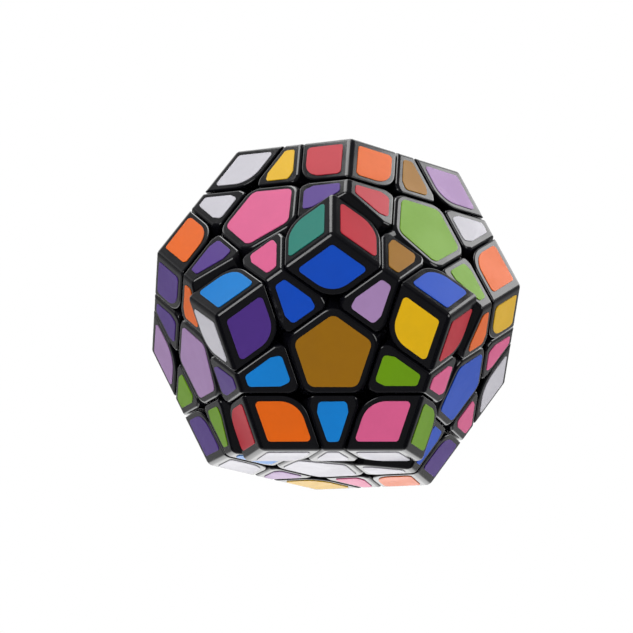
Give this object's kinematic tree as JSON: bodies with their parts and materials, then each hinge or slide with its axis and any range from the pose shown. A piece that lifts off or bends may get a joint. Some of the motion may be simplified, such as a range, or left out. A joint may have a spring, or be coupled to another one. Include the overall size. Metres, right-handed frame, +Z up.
{
  "type": "dodecahedron twisty puzzle",
  "caption": "Twelve-faced turning puzzle: black corner, edge and centre blocks on an armed core, with coloured stickers on every face.",
  "frame": {"origin": "middle of the core, where all twelve turning axes meet", "axes": "+Z up through the top face's axis, -Z out of the bottom face it rests on, -Y to the front, where the front face also leans down, +X to the right"},
  "size_m": [0.0778, 0.0818, 0.0683],
  "materials": {
    "black_plastic": "satin moulded black plastic, rounded edges",
    "core_plastic": "moulded black plastic core and fixed centres",
    "steel": "zinc plated steel"
  },
  "bodies": {
    "inner_frame": {"core_with_fixed_centres": "core_plastic", "corner_bottom_backright_right": "black_plastic", "corner_farleft_left_frontleft": "black_plastic", "corner_farright_backright_back": "black_plastic", "corner_farright_frontright_right": "black_plastic", "corner_farright_right_backright": "black_plastic", "edge_back_backright": "black_plastic", "edge_back_farleft": "black_plastic", "edge_backright_right": "black_plastic", "edge_bottom_backright": "black_plastic", "edge_bottom_left": "black_plastic", "edge_bottom_right": "black_plastic", "edge_farleft_frontleft": "black_plastic", "edge_farleft_left": "black_plastic", "edge_farright_back": "black_plastic", "edge_farright_backright": "black_plastic", "edge_farright_frontright": "black_plastic", "edge_farright_right": "black_plastic", "edge_frontleft_frontright": "black_plastic", "edge_frontleft_left": "black_plastic", "edge_frontright_right": "black_plastic", "screw_backleft": "steel", "screw_front": "steel", "screw_top": "steel", "spring_backleft": "steel", "spring_front": "steel", "spring_top": "steel"},
    "front_layer": {"centre_front": "black_plastic", "corner_bottom_front_left": "black_plastic", "corner_bottom_right_front": "black_plastic", "corner_frontleft_front_frontright": "black_plastic", "corner_frontleft_left_front": "black_plastic", "corner_frontright_front_right": "black_plastic", "edge_bottom_front": "black_plastic", "edge_front_right": "black_plastic", "edge_frontleft_front": "black_plastic", "edge_frontright_front": "black_plastic", "edge_left_front": "black_plastic"},
    "top_layer": {"centre_top": "black_plastic", "corner_top_back_farleft": "black_plastic", "corner_top_farleft_frontleft": "black_plastic", "corner_top_farright_back": "black_plastic", "corner_top_frontleft_frontright": "black_plastic", "corner_top_frontright_farright": "black_plastic", "edge_top_back": "black_plastic", "edge_top_farleft": "black_plastic", "edge_top_farright": "black_plastic", "edge_top_frontleft": "black_plastic", "edge_top_frontright": "black_plastic"},
    "backleft_layer": {"centre_backleft": "black_plastic", "corner_back_backleft_farleft": "black_plastic", "corner_back_backright_backleft": "black_plastic", "corner_bottom_backleft_backright": "black_plastic", "corner_bottom_left_backleft": "black_plastic", "corner_farleft_backleft_left": "black_plastic", "edge_back_backleft": "black_plastic", "edge_backleft_left": "black_plastic", "edge_backright_backleft": "black_plastic", "edge_bottom_backleft": "black_plastic", "edge_farleft_backleft": "black_plastic"}
  },
  "joints": [
    {"name": "front_turn", "type": "hinge", "parent": "inner_frame", "child": "front_layer", "pos_m": [0, 0, 0], "axis": [0, -0.8944, -0.4472], "continuous": true},
    {"name": "top_turn", "type": "hinge", "parent": "inner_frame", "child": "top_layer", "pos_m": [0, 0, 0], "axis": [0, 0, 1], "continuous": true},
    {"name": "backleft_turn", "type": "hinge", "parent": "inner_frame", "child": "backleft_layer", "pos_m": [0, 0, 0], "axis": [-0.5257, 0.7236, -0.4472], "continuous": true}
  ]
}
